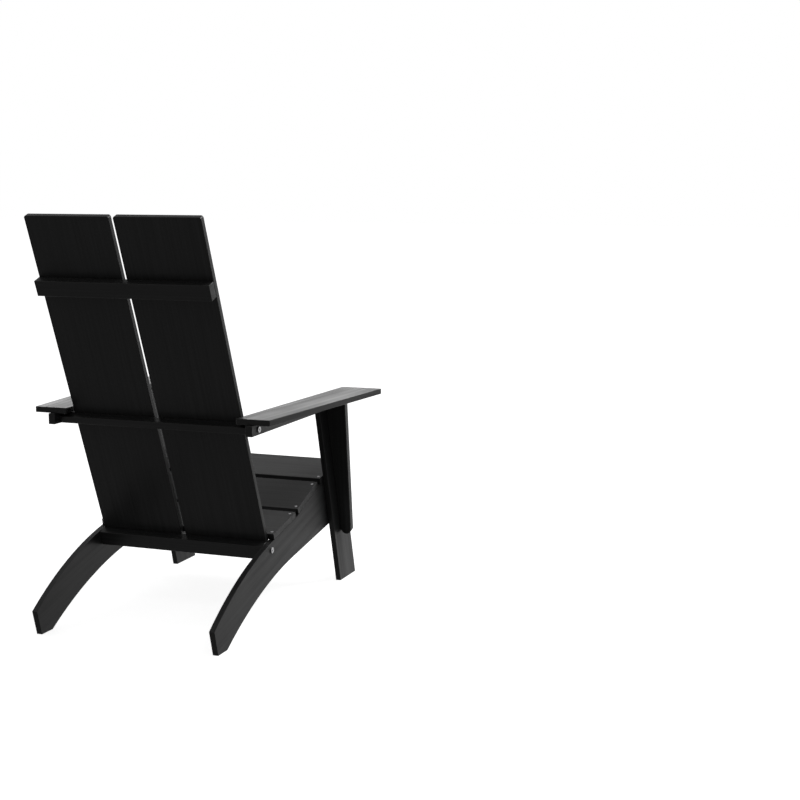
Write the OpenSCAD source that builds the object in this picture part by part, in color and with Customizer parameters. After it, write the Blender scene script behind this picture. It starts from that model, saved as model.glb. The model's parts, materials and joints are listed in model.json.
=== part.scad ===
// Adirondack chair of black plastic lumber: two wide back slats, flat tapered arms on
// brackets, and curved stringers that carry the seat and end as the rear legs.
// The origin is on the floor under the middle of the chair. The sitter faces -Y,
// so the sitter's left is +X, and +Z is up.

/* [Overall] */
// Depth on the floor, from the front legs' toes to the stringers' heels
overall_d = 844.5; // [830:0.5:870]
// Thickness of the back slats, arms, legs, stringers and apron
board_t = 14.5; // [13:0.5:14.5]
// Thickness of the battens behind the back slats
batten_t = 25; // [22:0.5:26]
// Clear width between the two stringers
inner_w = 470.6; // [469.6:0.1:490]

/* [Back] */
// Width over both back slats
back_w = 468.6; // [450:0.1:468.8]
// Gap between the two back slats
back_gap = 11.5; // [6:0.5:24]
// Length of a back slat
back_slat_l = 918.7; // [912:0.1:924]
// Height of the slats' rear top edge
back_top_z = 1026.2; // [1022:0.1:1026.6]
// Distance of that edge in front of the heels
back_top_inset = 1.2; // [0:0.1:4]
// Lean of the back from upright, in degrees
back_lean = 21.1; // [20.3:0.1:21.2]
// Radius of the slats' top corners
slat_corner_r = 6; // [2:1:10]
// Height of the upper and lower battens
batten_h = 40; // [36:1:42]
// Distance of the upper batten below the slat tops
upper_batten_drop = 157.7; // [120:0.1:220]
// Distance of the middle batten below the slat tops
middle_batten_drop = 532; // [532:0.5:534]
// Height of the middle batten
middle_batten_h = 19; // [18:0.5:20]
// Distance of the lower batten below the slat tops
lower_batten_drop = 879.2; // [876:0.1:884]

/* [Seat] */
// Width of a seat slat
seat_slat_w = 138.5; // [134:0.5:141]
// Gap between seat slats
seat_gap = 17; // [8:0.5:18]
// Thickness of a seat slat
seat_slat_t = 16; // [13:1:18]
// Slope of the front seat slat, in degrees
front_slope = 12.3; // [10:0.1:13]
// Slope of the middle seat slat, in degrees
middle_slope = 20.3; // [18:0.1:22]
// Slope of the rear seat slat, in degrees
rear_slope = 12.1; // [10:0.1:14]
// Height of the seat's underside at its rear end
seat_rear_z = 207.4; // [205:0.1:209]

/* [Stringers] */
// Height of the heels' upper corners
heel_h = 62; // [50:1:65]
// How far a heel's cut runs forward on its way down
heel_rake = 17.5; // [10:0.5:24]
// Length of the flat foot at a heel
foot_l = 47; // [35:0.1:60]
// Slope of the straight lower edge under the seat, in degrees
belly_slope = 8.5; // [7:0.5:10]
// Height where the lower edge bends down to the foot
belly_z = 136.6; // [132:0.1:145]
// Distance of that bend in front of the heels
belly_inset = 447; // [430:1:460]

/* [Arms, legs and brackets] */
// Height of the arms' top faces
arm_z = 544.9; // [544.5:0.1:547]
// Distance of an arm's inner edge from the middle, at the front end
arm_front_inner = 264.7; // [255:0.1:270]
// Distance of an arm's outer edge from the middle, at the front end
arm_front_outer = 380; // [350:1:400]
// Distance of an arm's inner edge from the middle, at the rear end
arm_rear_inner = 234.8; // [234.6:0.1:240]
// Distance of an arm's outer edge from the middle, at the rear end
arm_rear_outer = 324.5; // [300:0.5:340]
// Distance of the arms' front ends behind the legs' toes
arm_front_inset = 89.5; // [70:0.5:100]
// Length of an arm
arm_l = 599.7; // [590:0.1:605]
// Radius of an arm's front inner corner
arm_inner_r = 12; // [4:1:20]
// Radius of an arm's other corners
arm_corner_r = 4; // [2:1:10]
// Width of a front leg
leg_w = 106; // [100:1:110]
// Slant of the front legs from upright, in degrees
leg_slant = 15.7; // [14:0.1:17]
// Height of an arm rail
rail_h = 27.5; // [26:0.1:30]
// Thickness of an arm rail
rail_t = 18; // [17:0.5:22]
// How far a rail sticks out behind its arm
rail_overhang = 7; // [0:1:10]
// Thickness of a bracket
bracket_t = 20; // [16:0.5:24]
// Reach of a bracket from the leg, under the arm
bracket_top_reach = 58.7; // [50:0.1:66]
// Reach of a bracket from the leg, near its round lower end
bracket_low_reach = 29.7; // [28:0.1:36]
// Height of a bracket's lowest point
bracket_z = 135.9; // [125:0.1:145]
// Height of the apron under the front edge of the seat
apron_h = 126; // [110:1:128]

/* [Fasteners] */
// Diameter of the screws' shanks
screw_d = 4.2; // [3.6:0.1:4.6]
// Diameter of the screws' flat heads
screw_head_d = 7; // [6.5:0.5:9]
// Diameter of the bolts' shanks
bolt_d = 6; // [5:0.5:7]
// Diameter of the bolts' heads
bolt_head_d = 15; // [13:1:16]
// Height of the bolts' heads
bolt_head_h = 3; // [2:0.5:4]
// Distance of the seat screws from a slat's long edges
seat_screw_inset = 13; // [12:1:24]

/* [Hidden] */
$fn = 64;
long_arc_fn = 360;

// Clearance around a fastener in its hole, and how far a cutter runs past a face
fit = 0.1;
past = 1;

front_y = -overall_d / 2;
rear_y = overall_d / 2;
stringer_x = inner_w / 2;
leg_x = stringer_x + board_t;
rail_x = leg_x + board_t;
back_slat_w = (back_w - back_gap) / 2;
arm_under_z = arm_z - board_t;
rail_z = arm_under_z - rail_h;
arm_front_y = front_y + arm_front_inset;
arm_rear_y = arm_front_y + arm_l;
bracket_set_back = (leg_w - bracket_t) / 2;

// Back: y of the slats' front faces at height z
back_top = [rear_y - back_top_inset, back_top_z];
function back_front_y(z) = back_top[0] - board_t / cos(back_lean) - (back_top[1] - z) * tan(back_lean);

// Seat: [y, z] corners of its underside, from the front edge to the rear edge
seat_clearance = 0.6;
seat_slopes = [front_slope, middle_slope, rear_slope];
seat_pitch = seat_slat_w + seat_gap;
rear_slat_end = [back_front_y(seat_rear_z) - seat_clearance, seat_rear_z];
function up_slope(p, l, slope) = p + l * [-cos(slope), sin(slope)];
seat_3 = up_slope(rear_slat_end, -seat_gap / 2, rear_slope);
seat_2 = up_slope(seat_3, seat_pitch, rear_slope);
seat_1 = up_slope(seat_2, seat_pitch, middle_slope);
seat_0 = up_slope(seat_1, seat_pitch, front_slope);
seat_corners = [seat_0, seat_1, seat_2, seat_3];

// Legs: the point at height z on a line set back from the legs' front edges
function leg_line(set_back, z) = [front_y + set_back / cos(leg_slant) + z * tan(leg_slant), z];
// The height on that line of a slope that rises forward through p
function leg_line_z(set_back, p, slope) =
    (p[1] + (p[0] - leg_line(set_back, 0)[0]) * tan(slope)) / (1 + tan(leg_slant) * tan(slope));
// Height z turned into a distance along a leg
function leg_run(set_back, z) = (z + set_back * sin(leg_slant)) / cos(leg_slant);

apron_clearance = 2;
apron_top_run = leg_run(0, leg_line_z(0, seat_1, front_slope) - apron_clearance);

// An arc from p, where it falls at a given slope, to q: its radius and its centre
function arc_r(p, q, slope) = norm(q - p) / (2 * sin(atan2(p[1] - q[1], q[0] - p[0]) - slope));
function arc_centre(p, q, slope) = p - arc_r(p, q, slope) * [sin(slope), cos(slope)];

// Screws: lengths and places
screw_cone_h = (screw_head_d - screw_d) / 2;
screw_tip_h = 4;
drive_d = 3.4;
drive_depth = 1.6;
back_screw_l = 35;
back_screw_xs = [back_gap / 2 + 45, back_w / 2 - 45];
seat_screw_l = 45;
seat_screw_x = stringer_x + 4.5;
front_row_inset = 60;
apron_screw_l = 40;
apron_screw_x = stringer_x + board_t / 2;
apron_screw_runs = [214, 305];
side_screw_l = 30;
bracket_screw_zs = [158, 350, 480];
rail_screw_set_backs = [74, 93];
arm_screw_l = rail_h + board_t - 4;
arm_screw_ys = [-117, 33, 183];

// Bolts: lengths and places
socket_d = 4.6;
socket_depth = 2;
batten_bolt_grip = 38;
lower_bolt_drop = 20;
lower_bolt_out = 8;
barrel_nut_d = 10;
barrel_nut_l = 15;
barrel_nut_inset = 28;
leg_bolt_set_back = 30;
leg_bolt_runs = [235, 282];
washer_d = 14;
washer_t = 1.6;
nut_d = 11.5;
nut_h = 5;
leg_bolt_l = 2 * board_t + washer_t + nut_h + 2;

board_color = [0.1, 0.1, 0.105];
steel_color = [0.62, 0.62, 0.63];

// ---------- frames and places ----------

// The sitter's left side, or its mirror image on the right
module on_side(side) {
    if (side > 0) children();
    else mirror([1, 0, 0]) children();
}

module on_both_sides() {
    for (side = [1, -1]) on_side(side) children();
}

// Extrudes an outline drawn as [y, z] along X
module side_plate(x, thickness) {
    translate([x, 0, 0]) rotate([90, 0, 90]) linear_extrude(thickness) children();
}

// Back frame: the origin is the rear top edge, z runs up the slats and y out of their rear faces
module on_back() {
    translate([0, back_top[0], back_top[1]]) rotate([-back_lean, 0, 0]) children();
}

// Seat slat frame: y runs down the slope from the slat's upper corner, z is its thickness
module on_seat(i) {
    translate([0, seat_corners[i][0], seat_corners[i][1]]) rotate([-seat_slopes[i], 0, 0]) children();
}

// Leg frame: z runs up the front edge and y goes back across the width
module on_leg() {
    translate([0, front_y, 0]) rotate([-leg_slant, 0, 0]) children();
}

// Fastener places: the head looks along +z and the shank goes along -z
module at_back_screws() {
    for (z = [-upper_batten_drop - batten_h / 2,
              -middle_batten_drop - middle_batten_h / 2,
              -lower_batten_drop - batten_h / 2])
        for (x = back_screw_xs)
            on_both_sides() on_back() translate([x, -board_t, z]) rotate([90, 0, 0]) children();
}

module at_seat_screws() {
    for (i = [0:2]) {
        first = seat_gap / 2 + (i == 0 ? front_row_inset : seat_screw_inset);
        last = seat_pitch - seat_gap / 2 - seat_screw_inset;
        for (y = [first, last])
            on_both_sides() on_seat(i) translate([seat_screw_x, y, seat_slat_t]) children();
    }
}

module at_apron_screws() {
    for (z = apron_screw_runs)
        on_both_sides() on_leg() translate([apron_screw_x, 0, z]) rotate([90, 0, 0]) children();
}

module from_leg_inside(set_back, z) {
    place = leg_line(set_back, z);
    on_both_sides() translate([leg_x, place[0], place[1]]) rotate([0, -90, 0]) children();
}

module at_bracket_screws() {
    for (z = bracket_screw_zs) from_leg_inside(leg_w / 2, z) children();
}

module at_rail_screws() {
    for (set_back = rail_screw_set_backs) from_leg_inside(set_back, rail_z + rail_h / 2) children();
}

module at_arm_screws() {
    for (y = arm_screw_ys)
        on_both_sides() translate([rail_x + rail_t / 2, y, rail_z]) rotate([180, 0, 0]) children();
}

module at_lower_batten_bolts() {
    on_both_sides() on_back()
        translate([leg_x, lower_bolt_out, -lower_batten_drop - lower_bolt_drop])
            rotate([0, 90, 0]) children();
}

module at_middle_batten_bolts() {
    on_both_sides() on_back()
        translate([rail_x + rail_t, batten_t / 2, -middle_batten_drop - middle_batten_h / 2])
            rotate([0, 90, 0]) children();
}

module at_leg_bolts() {
    for (z = leg_bolt_runs)
        on_both_sides() on_leg() translate([rail_x, leg_bolt_set_back, z]) rotate([0, 90, 0]) children();
}

// ---------- fasteners ----------

// Flat-headed screw with its head flush at z = 0
module screw(l) {
    color(steel_color) difference() {
        union() {
            translate([0, 0, -screw_cone_h]) cylinder(h = screw_cone_h, d1 = screw_d, d2 = screw_head_d);
            translate([0, 0, screw_tip_h - l]) cylinder(h = l - screw_tip_h - screw_cone_h, d = screw_d);
            translate([0, 0, -l]) cylinder(h = screw_tip_h, d1 = 1, d2 = screw_d);
        }
        translate([0, 0, -drive_depth]) cylinder(h = drive_depth + past, d = drive_d, $fn = 4);
    }
}

module screw_hole(l) {
    grow = 2 * fit;
    translate([0, 0, -l - fit]) cylinder(h = l, d = screw_d + grow);
    translate([0, 0, -screw_cone_h])
        cylinder(h = screw_cone_h, d1 = screw_d + grow, d2 = screw_head_d + grow);
    cylinder(h = past, d = screw_head_d + grow);
}

// Bolt with a low round head that rests on the face at z = 0
module bolt(l) {
    color(steel_color) difference() {
        union() {
            cylinder(h = bolt_head_h, d = bolt_head_d);
            translate([0, 0, -l]) cylinder(h = l, d = bolt_d);
        }
        translate([0, 0, bolt_head_h - socket_depth])
            cylinder(h = socket_depth + past, d = socket_d, $fn = 6);
    }
}

module bolt_hole(l) {
    translate([0, 0, -l - past]) cylinder(h = l + 2 * past, d = bolt_d + 2 * fit);
}

// Barrel nut across a bolt that reaches past depth; x is the way down the batten
module on_barrel(depth) {
    translate([0, 0, -depth]) rotate([0, 90, 0]) children();
}

module barrel_nut(depth) {
    color(steel_color) difference() {
        on_barrel(depth) cylinder(h = barrel_nut_l, d = barrel_nut_d, center = true);
        bolt_hole(depth + barrel_nut_d);
    }
}

module barrel_hole(depth) {
    on_barrel(depth) translate([0, 0, -barrel_nut_l / 2 - fit])
        cylinder(h = batten_h + barrel_nut_l, d = barrel_nut_d + 2 * fit);
}

// ---------- outlines ----------

// The waste outside a rounded corner p between its neighbours a and b
module corner_waste(a, p, b, r) {
    to_a = (a - p) / norm(a - p);
    to_b = (b - p) / norm(b - p);
    half = acos(to_a * to_b) / 2;
    inward = (to_a + to_b) / norm(to_a + to_b);
    difference() {
        polygon([p + to_a * r / tan(half), p - inward * r, p + to_b * r / tan(half)]);
        translate(p + inward * r / sin(half)) circle(r);
    }
}

// A polygon with one radius for each corner; a radius of 0 leaves the corner sharp
module rounded_polygon(points, radii) {
    count = len(points);
    difference() {
        polygon(points);
        for (i = [0 : count - 1])
            if (radii[i] > 0)
                corner_waste(points[(i + count - 1) % count], points[i], points[(i + 1) % count], radii[i]);
    }
}

// Stringer: its top edge follows the seat and then falls in an arc to the heel
module stringer_outline() {
    heel = [rear_y, heel_h];
    heel_low = [rear_y - heel_rake, 0];
    foot_front = heel_low - [foot_l, 0];
    belly = [rear_y - belly_inset, belly_z];
    front_low = leg_line(board_t, leg_line_z(board_t, belly, belly_slope));
    front_high = leg_line(board_t, leg_line_z(board_t, seat_1, front_slope));
    over_arc = [rear_y, seat_3[1] - (rear_y - seat_3[0]) * tan(rear_slope)];
    difference() {
        polygon([
            front_low, front_high, seat_1, seat_2, seat_3, over_arc,
            heel, heel_low, foot_front, belly,
        ]);
        difference() {
            polygon([
                seat_3, seat_3 + [0, board_t], over_arc + [board_t, board_t],
                heel + [board_t, 0], heel,
            ]);
            translate(arc_centre(seat_3, heel, rear_slope))
                circle(arc_r(seat_3, heel, rear_slope), $fn = long_arc_fn);
        }
        translate(arc_centre(belly, foot_front, belly_slope))
            circle(arc_r(belly, foot_front, belly_slope), $fn = long_arc_fn);
    }
}

module leg_outline() {
    polygon([
        leg_line(0, 0), leg_line(leg_w, 0),
        leg_line(leg_w, arm_under_z), leg_line(0, arm_under_z),
    ]);
}

module rail_outline() {
    front = bracket_set_back + bracket_t;
    end_y = arm_rear_y + rail_overhang;
    polygon([leg_line(front, rail_z), [end_y, rail_z], [end_y, arm_under_z], leg_line(front, arm_under_z)]);
}

// Bracket seen from the front: x is its reach from the leg and y runs up the leg
module bracket_outline() {
    round_r = bracket_low_reach / 2;
    low = leg_run(leg_w / 2, bracket_z) + round_r;
    high = leg_run(leg_w, arm_under_z);
    polygon([[0, low], [bracket_low_reach, low], [bracket_top_reach, high], [0, high]]);
    translate([round_r, low]) circle(round_r);
}

// ---------- parts ----------

module back_slat(side) {
    w = back_slat_w;
    corners = [[0, 0], [w, 0], [w, -back_slat_l], [0, -back_slat_l]];
    color(board_color) difference() {
        on_side(side) on_back() translate([back_gap / 2, 0, 0]) rotate([90, 0, 0])
            linear_extrude(board_t) rounded_polygon(corners, [slat_corner_r, slat_corner_r, 0, 0]);
        at_back_screws() screw_hole(back_screw_l);
    }
}

module back_batten(drop, half_l, h) {
    on_back() translate([-half_l, 0, -drop - h]) cube([2 * half_l, batten_t, h]);
}

module upper_back_batten() {
    color(board_color) difference() {
        back_batten(upper_batten_drop, back_w / 2, batten_h);
        at_back_screws() screw_hole(back_screw_l);
    }
}

module middle_back_batten() {
    color(board_color) difference() {
        back_batten(middle_batten_drop, rail_x, middle_batten_h);
        at_back_screws() screw_hole(back_screw_l);
        at_middle_batten_bolts() {
            bolt_hole(rail_t + batten_bolt_grip);
            barrel_hole(rail_t + barrel_nut_inset);
        }
    }
}

module lower_back_batten() {
    color(board_color) difference() {
        back_batten(lower_batten_drop, stringer_x, batten_h);
        at_back_screws() screw_hole(back_screw_l);
        at_lower_batten_bolts() {
            bolt_hole(board_t + batten_bolt_grip);
            barrel_hole(board_t + barrel_nut_inset);
        }
    }
}

module stringer(side) {
    color(board_color) difference() {
        on_side(side) side_plate(stringer_x, board_t) stringer_outline();
        at_seat_screws() screw_hole(seat_screw_l);
        at_apron_screws() screw_hole(apron_screw_l);
        at_leg_bolts() bolt_hole(leg_bolt_l);
        at_lower_batten_bolts() bolt_hole(board_t);
    }
}

module seat_slat(i) {
    color(board_color) difference() {
        on_seat(i) translate([-leg_x, seat_gap / 2, 0]) cube([2 * leg_x, seat_slat_w, seat_slat_t]);
        at_seat_screws() screw_hole(seat_screw_l);
    }
}

module front_apron() {
    color(board_color) difference() {
        on_leg() translate([-leg_x, 0, apron_top_run - apron_h]) cube([2 * leg_x, board_t, apron_h]);
        at_apron_screws() screw_hole(apron_screw_l);
    }
}

module front_leg(side) {
    color(board_color) difference() {
        on_side(side) side_plate(leg_x, board_t) leg_outline();
        at_leg_bolts() bolt_hole(leg_bolt_l);
        at_bracket_screws() screw_hole(side_screw_l);
        at_rail_screws() screw_hole(side_screw_l);
    }
}

module arm_bracket(side) {
    color(board_color) difference() {
        on_side(side) on_leg() translate([rail_x, bracket_set_back + bracket_t, 0]) rotate([90, 0, 0])
            linear_extrude(bracket_t) bracket_outline();
        translate([-arm_front_outer, front_y, arm_under_z]) cube([2 * arm_front_outer, overall_d, leg_w]);
        at_bracket_screws() screw_hole(side_screw_l);
    }
}

module arm_rail(side) {
    color(board_color) difference() {
        on_side(side) side_plate(rail_x, rail_t) rail_outline();
        at_rail_screws() screw_hole(side_screw_l);
        at_arm_screws() screw_hole(arm_screw_l);
        at_middle_batten_bolts() bolt_hole(rail_t);
    }
}

module arm(side) {
    corners = [
        [arm_front_inner, arm_front_y], [arm_front_outer, arm_front_y],
        [arm_rear_outer, arm_rear_y], [arm_rear_inner, arm_rear_y],
    ];
    color(board_color) difference() {
        on_side(side) translate([0, 0, arm_under_z]) linear_extrude(board_t)
            rounded_polygon(corners, [arm_inner_r, arm_corner_r, arm_corner_r, arm_corner_r]);
        at_arm_screws() screw_hole(arm_screw_l);
    }
}

module left_back_slat() {
    back_slat(1);
}

module right_back_slat() {
    back_slat(-1);
}

module left_stringer() {
    stringer(1);
}

module right_stringer() {
    stringer(-1);
}

module front_seat_slat() {
    seat_slat(0);
}

module middle_seat_slat() {
    seat_slat(1);
}

module rear_seat_slat() {
    seat_slat(2);
}

module left_front_leg() {
    front_leg(1);
}

module right_front_leg() {
    front_leg(-1);
}

module left_arm_bracket() {
    arm_bracket(1);
}

module right_arm_bracket() {
    arm_bracket(-1);
}

module left_arm_rail() {
    arm_rail(1);
}

module right_arm_rail() {
    arm_rail(-1);
}

module left_arm() {
    arm(1);
}

module right_arm() {
    arm(-1);
}

module back_screws() {
    at_back_screws() screw(back_screw_l);
}

module seat_screws() {
    at_seat_screws() screw(seat_screw_l);
}

module apron_screws() {
    at_apron_screws() screw(apron_screw_l);
}

module bracket_screws() {
    at_bracket_screws() screw(side_screw_l);
}

module rail_screws() {
    at_rail_screws() screw(side_screw_l);
}

module arm_screws() {
    at_arm_screws() screw(arm_screw_l);
}

module lower_batten_bolts() {
    at_lower_batten_bolts() bolt(board_t + batten_bolt_grip);
}

module middle_batten_bolts() {
    at_middle_batten_bolts() bolt(rail_t + batten_bolt_grip);
}

module barrel_nuts() {
    at_lower_batten_bolts() barrel_nut(board_t + barrel_nut_inset);
    at_middle_batten_bolts() barrel_nut(rail_t + barrel_nut_inset);
}

module leg_bolts() {
    at_leg_bolts() bolt(leg_bolt_l);
}

// Washers and nuts sit on the stringers' inner faces
module leg_washers() {
    color(steel_color) at_leg_bolts() difference() {
        translate([0, 0, -2 * board_t - washer_t]) cylinder(h = washer_t, d = washer_d);
        bolt_hole(leg_bolt_l);
    }
}

module leg_nuts() {
    color(steel_color) at_leg_bolts() difference() {
        translate([0, 0, -2 * board_t - washer_t - nut_h]) cylinder(h = nut_h, d = nut_d, $fn = 6);
        bolt_hole(leg_bolt_l);
    }
}

left_back_slat();
right_back_slat();
upper_back_batten();
middle_back_batten();
lower_back_batten();
left_stringer();
right_stringer();
front_seat_slat();
middle_seat_slat();
rear_seat_slat();
front_apron();
left_front_leg();
right_front_leg();
left_arm_bracket();
right_arm_bracket();
left_arm_rail();
right_arm_rail();
left_arm();
right_arm();
back_screws();
seat_screws();
apron_screws();
bracket_screws();
rail_screws();
arm_screws();
lower_batten_bolts();
middle_batten_bolts();
barrel_nuts();
leg_bolts();
leg_washers();
leg_nuts();
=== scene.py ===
import json
import math

import bmesh
import bpy
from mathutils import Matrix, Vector


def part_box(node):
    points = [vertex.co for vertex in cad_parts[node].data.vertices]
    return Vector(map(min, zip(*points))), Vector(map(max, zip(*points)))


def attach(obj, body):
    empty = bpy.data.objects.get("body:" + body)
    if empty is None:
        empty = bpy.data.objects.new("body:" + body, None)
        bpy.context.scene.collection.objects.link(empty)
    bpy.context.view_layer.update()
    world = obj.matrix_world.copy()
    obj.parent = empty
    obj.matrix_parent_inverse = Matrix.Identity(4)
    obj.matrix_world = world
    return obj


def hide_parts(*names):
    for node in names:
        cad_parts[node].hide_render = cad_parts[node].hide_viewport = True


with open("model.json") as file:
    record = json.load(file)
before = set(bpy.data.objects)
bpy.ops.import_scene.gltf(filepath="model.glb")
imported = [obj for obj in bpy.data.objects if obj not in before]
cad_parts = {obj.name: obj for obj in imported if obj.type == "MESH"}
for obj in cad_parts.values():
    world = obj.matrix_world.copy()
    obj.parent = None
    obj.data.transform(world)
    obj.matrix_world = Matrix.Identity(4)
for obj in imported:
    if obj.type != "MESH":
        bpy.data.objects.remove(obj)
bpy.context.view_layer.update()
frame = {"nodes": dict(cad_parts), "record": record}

# Looks of a black plastic-lumber adirondack chair. Each board is remade from its CAD solid
# with eased edges and a lengthwise grain; the screws and bolts are bright steel.

# Camera: place in metres, heading and pitch in degrees, lens and sensor in millimetres
CAMERA_PLACE = Vector((-1.83026, 3.44735, 1.11800))
CAMERA_HEADING = 20.2791
CAMERA_PITCH = -8.4958
CAMERA_LENS = 67.412
CAMERA_SENSOR = 36
# Nearest and farthest that the camera sees, in metres
CAMERA_RANGE = (0.05, 200)

# Easing of edges, in metres, and the number of flats across a rounded edge
BOARD_EASING = 0.0014
STEEL_EASING = 0.00035
EASING_STEPS = 3
# Edges that turn more than this are eased, in degrees
SHARP_ANGLE = 25
# Edges that turn more than this still shade as creases once eased, in degrees
CREASE_ANGLE = 50
# Faces that turn less than this, in degrees, are one flat face
FLAT_ANGLE = 0.1
# Corners closer than this, in metres, are one corner
WELD_DISTANCE = 1e-6
# A connected set of sharp edges smaller than this, in metres, is a hole's rim and stays sharp
HOLE_SIZE = 0.020
# Grain runs along a board's longest edge, except on the curved stringers
STRINGER_GRAIN = Vector((0, 0.97, -0.243))
# Each piece takes its own part of the grain, moved by this many times its place
GRAIN_SHIFT = 3.7

# Tones of the boards: between the streaks, on the streaks, and on rubbed edges
LUMBER_DEEP = (0.0190, 0.0190, 0.0190)
LUMBER_LIGHT = (0.0330, 0.0330, 0.0336)
LUMBER_RUBBED = (0.052, 0.052, 0.053)
LUMBER_IOR = 1.5
# Tones of the steel: polished and in dull patches
STEEL_BRIGHT = (0.86, 0.86, 0.87)
STEEL_DULL = (0.70, 0.70, 0.71)

WHITE = (1, 1, 1, 1)
# Side of the square floor, in metres, with its paint and its own glow
FLOOR_SIZE = 60
FLOOR_PAINT = (0.9, 0.9, 0.9, 1)
FLOOR_GLOW = 0.85
# Light that comes from every side
ROOM_LIGHT = 0.115
# Key lamp: place, aim and side in metres, power in watts
KEY_PLACE = Vector((-2.2, -2.0, 3.4))
KEY_AIM = Vector((0, 0, 0.4))
KEY_SIDE = 1.8
KEY_POWER = 60


# ---------- node helpers ----------


def new_nodes(owner):
    owner.use_nodes = True
    owner.node_tree.nodes.clear()
    return owner.node_tree


def add(tree, kind, **settings):
    """A new node; settings starting with in_ set an input by its name."""
    made = tree.nodes.new(kind)
    for key, value in settings.items():
        if key.startswith("in_"):
            made.inputs[key[3:].replace("_", " ")].default_value = value
        else:
            setattr(made, key, value)
    return made


def math_node(tree, operation, a, b):
    made = add(tree, "ShaderNodeMath", operation=operation)
    for socket, value in zip(made.inputs, (a, b)):
        if isinstance(value, (int, float)):
            socket.default_value = value
        else:
            tree.links.new(value, socket)
    return made.outputs[0]


def remap(tree, value, low, high, to_low, to_high, smooth=False):
    made = add(
        tree,
        "ShaderNodeMapRange",
        interpolation_type="SMOOTHSTEP" if smooth else "LINEAR",
        in_From_Min=low,
        in_From_Max=high,
        in_To_Min=to_low,
        in_To_Max=to_high,
    )
    tree.links.new(value, made.inputs["Value"])
    return made.outputs["Result"]


def noise_field(tree, coords, scale, detail):
    """Noise over coords stretched by scale, a number for each axis."""
    mapping = add(tree, "ShaderNodeMapping", in_Scale=scale)
    field = add(tree, "ShaderNodeTexNoise", in_Scale=1, in_Detail=detail, in_Roughness=0.55)
    tree.links.new(coords, mapping.inputs["Vector"])
    tree.links.new(mapping.outputs["Vector"], field.inputs["Vector"])
    return field.outputs["Fac"]


def mix_colour(tree, factor, a, b):
    made = add(tree, "ShaderNodeMix", data_type="RGBA")
    tree.links.new(factor, made.inputs["Factor"])
    for socket, value in ((made.inputs[6], a), (made.inputs[7], b)):
        if isinstance(value, tuple):
            socket.default_value = (*value, 1)
        else:
            tree.links.new(value, socket)
    return made.outputs[2]


def bump_layer(tree, height, strength, distance, under=None):
    made = add(tree, "ShaderNodeBump", in_Strength=strength, in_Distance=distance)
    tree.links.new(height, made.inputs["Height"])
    if under:
        tree.links.new(under, made.inputs["Normal"])
    return made.outputs["Normal"]


def finish_material(tree, shader, tone, gloss, normal):
    out = add(tree, "ShaderNodeOutputMaterial")
    tree.links.new(tone, shader.inputs["Base Color"])
    tree.links.new(gloss, shader.inputs["Roughness"])
    tree.links.new(normal, shader.inputs["Normal"])
    tree.links.new(shader.outputs[0], out.inputs["Surface"])


# ---------- materials ----------


def lumber_material():
    """Black plastic lumber: brushed lengthwise grain, slightly uneven gloss, rubbed edges."""
    material = bpy.data.materials.new("black_plastic_lumber")
    tree = new_nodes(material)
    grain = add(tree, "ShaderNodeAttribute", attribute_name="grain").outputs["Vector"]
    edge = add(tree, "ShaderNodeAttribute", attribute_name="edge").outputs["Fac"]

    # Scales are along the grain, across it and through the board, in noise cells a metre
    fine = noise_field(tree, grain, (9, 900, 900), detail=2)
    streaks = noise_field(tree, grain, (2.5, 190, 190), detail=4)
    figure = noise_field(tree, grain, (1.6, 62, 62), detail=2)
    pores = noise_field(tree, grain, (420, 700, 700), detail=2)
    waves = noise_field(tree, grain, (4, 11, 11), detail=2)

    streaked = remap(tree, streaks, 0.3, 0.7, 0, 1)
    tone = mix_colour(tree, streaked, LUMBER_DEEP, LUMBER_LIGHT)
    rub = math_node(tree, "MULTIPLY", edge, remap(tree, waves, 0.42, 0.65, 0.15, 0.8))
    tone = mix_colour(tree, rub, tone, LUMBER_RUBBED)

    figure_gloss = remap(tree, figure, 0.3, 0.7, 0.31, 0.43)
    wave_gloss = remap(tree, waves, 0.3, 0.7, -0.03, 0.05)
    gloss = math_node(tree, "ADD", figure_gloss, wave_gloss)

    normal = bump_layer(tree, waves, 0.25, 0.0010)
    normal = bump_layer(tree, figure, 0.50, 0.00045, normal)
    normal = bump_layer(tree, streaks, 0.35, 0.00020, normal)
    normal = bump_layer(tree, fine, 0.35, 0.00006, normal)
    normal = bump_layer(tree, pores, 0.30, 0.00005, normal)

    shader = add(tree, "ShaderNodeBsdfPrincipled", in_IOR=LUMBER_IOR)
    finish_material(tree, shader, tone, gloss, normal)
    return material


def steel_material():
    """Bright stainless steel with fine turning marks and small dull patches."""
    material = bpy.data.materials.new("stainless_steel")
    tree = new_nodes(material)
    grain = add(tree, "ShaderNodeAttribute", attribute_name="grain").outputs["Vector"]
    marks = noise_field(tree, grain, (2600, 900, 2600), detail=2)
    patches = noise_field(tree, grain, (160, 160, 160), detail=3)
    dullness = remap(tree, patches, 0.35, 0.7, 0, 1)
    tone = mix_colour(tree, dullness, STEEL_BRIGHT, STEEL_DULL)
    gloss = remap(tree, patches, 0.3, 0.7, 0.28, 0.44)
    normal = bump_layer(tree, marks, 0.2, 0.00002)
    shader = add(tree, "ShaderNodeBsdfPrincipled", in_Metallic=1)
    finish_material(tree, shader, tone, gloss, normal)
    return material


# ---------- pieces ----------


def solid_of(node):
    """The CAD node's solid as a bmesh, welded and with its flat faces joined up."""
    solid = bmesh.new()
    solid.from_mesh(frame["nodes"][node].data)
    bmesh.ops.remove_doubles(solid, verts=solid.verts, dist=WELD_DISTANCE)
    bmesh.ops.dissolve_limit(
        solid, angle_limit=math.radians(FLAT_ANGLE), verts=solid.verts, edges=solid.edges
    )
    return solid


def sharp_edges(solid):
    limit = math.radians(SHARP_ANGLE)
    return [e for e in solid.edges if e.is_manifold and e.calc_face_angle(0) > limit]


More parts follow.
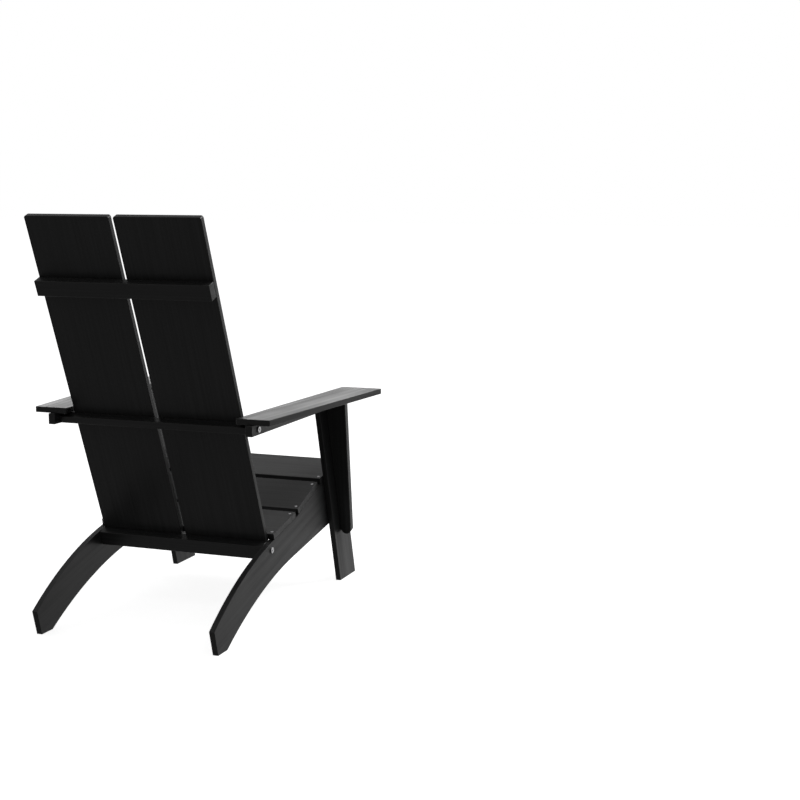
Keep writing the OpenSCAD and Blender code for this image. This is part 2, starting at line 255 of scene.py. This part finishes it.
def all_edges(edges):
    return edges


def without_holes(edges):
    """The edges whose connected set is larger than a hole's rim."""
    left, kept = set(edges), []
    while left:
        group, queue = set(), [left.pop()]
        while queue:
            edge = queue.pop()
            group.add(edge)
            near = {e for v in edge.verts for e in v.link_edges} & left
            left -= near
            queue.extend(near)
        points = [v.co for e in group for v in e.verts]
        spans = [max(p[i] for p in points) - min(p[i] for p in points) for i in range(3)]
        if max(spans) > HOLE_SIZE:
            kept.extend(group)
    return kept


def grain_axes(solid, along=None):
    """Unit vectors along a board, across it and through it."""
    through = max(solid.faces, key=lambda f: f.calc_area()).normal.copy()
    if along is None:
        longest = max(solid.edges, key=lambda e: e.calc_length())
        along = longest.verts[1].co - longest.verts[0].co
    along = (along - through * along.dot(through)).normalized()
    return along, through.cross(along), through


def add_point_values(mesh, node, axes, on_edge):
    """Grain coordinates of every point, and whether it lies on an eased edge."""
    low, high = (Vector(corner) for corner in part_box(node))
    shift = (low + high) / 2 + GRAIN_SHIFT * Vector((low.x, low.y, high.z))
    # Both are made before either is fetched, because making one can move the other
    mesh.attributes.new("grain", "FLOAT_VECTOR", "POINT")
    mesh.attributes.new("edge", "FLOAT", "POINT")
    grain, edge = mesh.attributes["grain"].data, mesh.attributes["edge"].data
    for v in mesh.vertices:
        grain[v.index].vector = [(v.co + shift).dot(axis) for axis in axes]
        edge[v.index].value = float(on_edge[v.index])


def make_piece(node, material, easing, edges_of, along=None):
    """A piece that stands for a CAD node, with eased edges and grain coordinates."""
    solid = solid_of(node)
    axes = grain_axes(solid, along)
    made = bmesh.ops.bevel(
        solid,
        geom=edges_of(sharp_edges(solid)),
        offset=easing,
        offset_type="OFFSET",
        segments=EASING_STEPS,
        profile=0.5,
        affect="EDGES",
        clamp_overlap=True,
    )
    eased = set(made["faces"])
    on_edge = [all(f in eased for f in v.link_faces) for v in solid.verts]
    mesh = bpy.data.meshes.new(node + "_mesh")
    solid.to_mesh(mesh)
    solid.free()
    add_point_values(mesh, node, axes, on_edge)

    mesh.materials.clear()
    mesh.materials.append(material)
    mesh.shade_smooth()
    mesh.set_sharp_from_angle(angle=math.radians(CREASE_ANGLE))
    piece = bpy.data.objects.new(node + "_visual", mesh)
    bpy.context.scene.collection.objects.link(piece)
    weighted = piece.modifiers.new("even_normals", "WEIGHTED_NORMAL")
    weighted.keep_sharp = True
    weighted.weight = 100
    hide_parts(node)
    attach(piece, "root")


def make_pieces():
    lumber, steel = lumber_material(), steel_material()
    for part in frame["record"]["subparts"]:
        node = part["node"]
        if part["material_slot"] == "steel":
            make_piece(node, steel, STEEL_EASING, all_edges)
        else:
            along = STRINGER_GRAIN if node.endswith("stringer") else None
            make_piece(node, lumber, BOARD_EASING, without_holes, along)


# ---------- stage, light and camera ----------


def make_floor():
    """A plain pale floor that the camera sees, and that throws no light back on the chair."""
    mesh = bpy.data.meshes.new("floor_mesh")
    s = FLOOR_SIZE / 2
    mesh.from_pydata([(-s, -s, 0), (s, -s, 0), (s, s, 0), (-s, s, 0)], [], [(0, 1, 2, 3)])
    floor = bpy.data.objects.new("floor", mesh)
    bpy.context.scene.collection.objects.link(floor)
    floor.visible_diffuse = False
    floor.visible_glossy = False
    material = bpy.data.materials.new("pale_floor")
    tree = new_nodes(material)
    matt = add(tree, "ShaderNodeBsdfDiffuse", in_Color=FLOOR_PAINT)
    glow = add(tree, "ShaderNodeEmission", in_Color=WHITE, in_Strength=FLOOR_GLOW)
    both = add(tree, "ShaderNodeAddShader")
    out = add(tree, "ShaderNodeOutputMaterial")
    tree.links.new(matt.outputs[0], both.inputs[0])
    tree.links.new(glow.outputs[0], both.inputs[1])
    tree.links.new(both.outputs[0], out.inputs["Surface"])
    mesh.materials.append(material)


def backdrop_light(tree):
    """Strength of the world's light by its direction: a low backdrop in front of the chair,
    dim towards -X and brightest towards +X, with a weak light above and a dim room."""
    direction = add(tree, "ShaderNodeTexCoord").outputs["Generated"]
    split = add(tree, "ShaderNodeSeparateXYZ")
    tree.links.new(direction, split.inputs[0])
    x, y, z = split.outputs
    ahead = remap(tree, y, 0.35, -0.55, 0, 1, smooth=True)
    high = remap(tree, z, 0.48, 0.14, 0.13, 1.7, smooth=True)
    low = remap(tree, z, -0.55, -0.05, 0.25, 1.0, smooth=True)
    dim_side = remap(tree, x, -0.61, -0.42, 0.02, 0.43, smooth=True)
    bright_side = remap(tree, x, -0.35, 0.30, 0.0, 0.64, smooth=True)
    light = math_node(tree, "ADD", dim_side, bright_side)
    for factor in (ahead, high, low):
        light = math_node(tree, "MULTIPLY", light, factor)
    above = remap(tree, z, 0.3, 1.0, 0.0, 0.25, smooth=True)
    light = math_node(tree, "MAXIMUM", light, above)
    return math_node(tree, "ADD", light, ROOM_LIGHT)


def make_world():
    """White where the camera sees it, and the backdrop's light for everything else."""
    world = bpy.data.worlds.new("studio")
    bpy.context.scene.world = world
    tree = new_nodes(world)
    lit = add(tree, "ShaderNodeBackground", in_Color=WHITE)
    tree.links.new(backdrop_light(tree), lit.inputs["Strength"])
    white = add(tree, "ShaderNodeBackground", in_Color=WHITE, in_Strength=1)
    path = add(tree, "ShaderNodeLightPath")
    pick = add(tree, "ShaderNodeMixShader")
    out = add(tree, "ShaderNodeOutputWorld")
    tree.links.new(path.outputs["Is Camera Ray"], pick.inputs[0])
    tree.links.new(lit.outputs[0], pick.inputs[1])
    tree.links.new(white.outputs[0], pick.inputs[2])
    tree.links.new(pick.outputs[0], out.inputs["Surface"])


def make_key_light():
    data = bpy.data.lights.new("key_light", "AREA")
    data.shape = "RECTANGLE"
    data.size = KEY_SIDE
    data.size_y = KEY_SIDE
    data.energy = KEY_POWER
    light = bpy.data.objects.new("key_light", data)
    light.location = KEY_PLACE
    light.rotation_euler = (KEY_AIM - KEY_PLACE).to_track_quat("-Z", "Y").to_euler()
    light.visible_camera = False
    bpy.context.scene.collection.objects.link(light)


def make_camera():
    data = bpy.data.cameras.new("camera")
    data.sensor_width = CAMERA_SENSOR
    data.lens = CAMERA_LENS
    data.clip_start, data.clip_end = CAMERA_RANGE
    camera = bpy.data.objects.new("camera", data)
    heading, pitch = math.radians(CAMERA_HEADING), math.radians(CAMERA_PITCH)
    looks = Vector((
        math.sin(heading) * math.cos(pitch),
        -math.cos(heading) * math.cos(pitch),
        math.sin(pitch),
    ))
    camera.location = CAMERA_PLACE
    camera.rotation_mode = "QUATERNION"
    camera.rotation_quaternion = looks.to_track_quat("-Z", "Y")
    bpy.context.scene.collection.objects.link(camera)
    bpy.context.scene.camera = camera


make_pieces()
make_floor()
make_world()
make_key_light()
make_camera()
bpy.context.scene.view_settings.view_transform = "Standard"
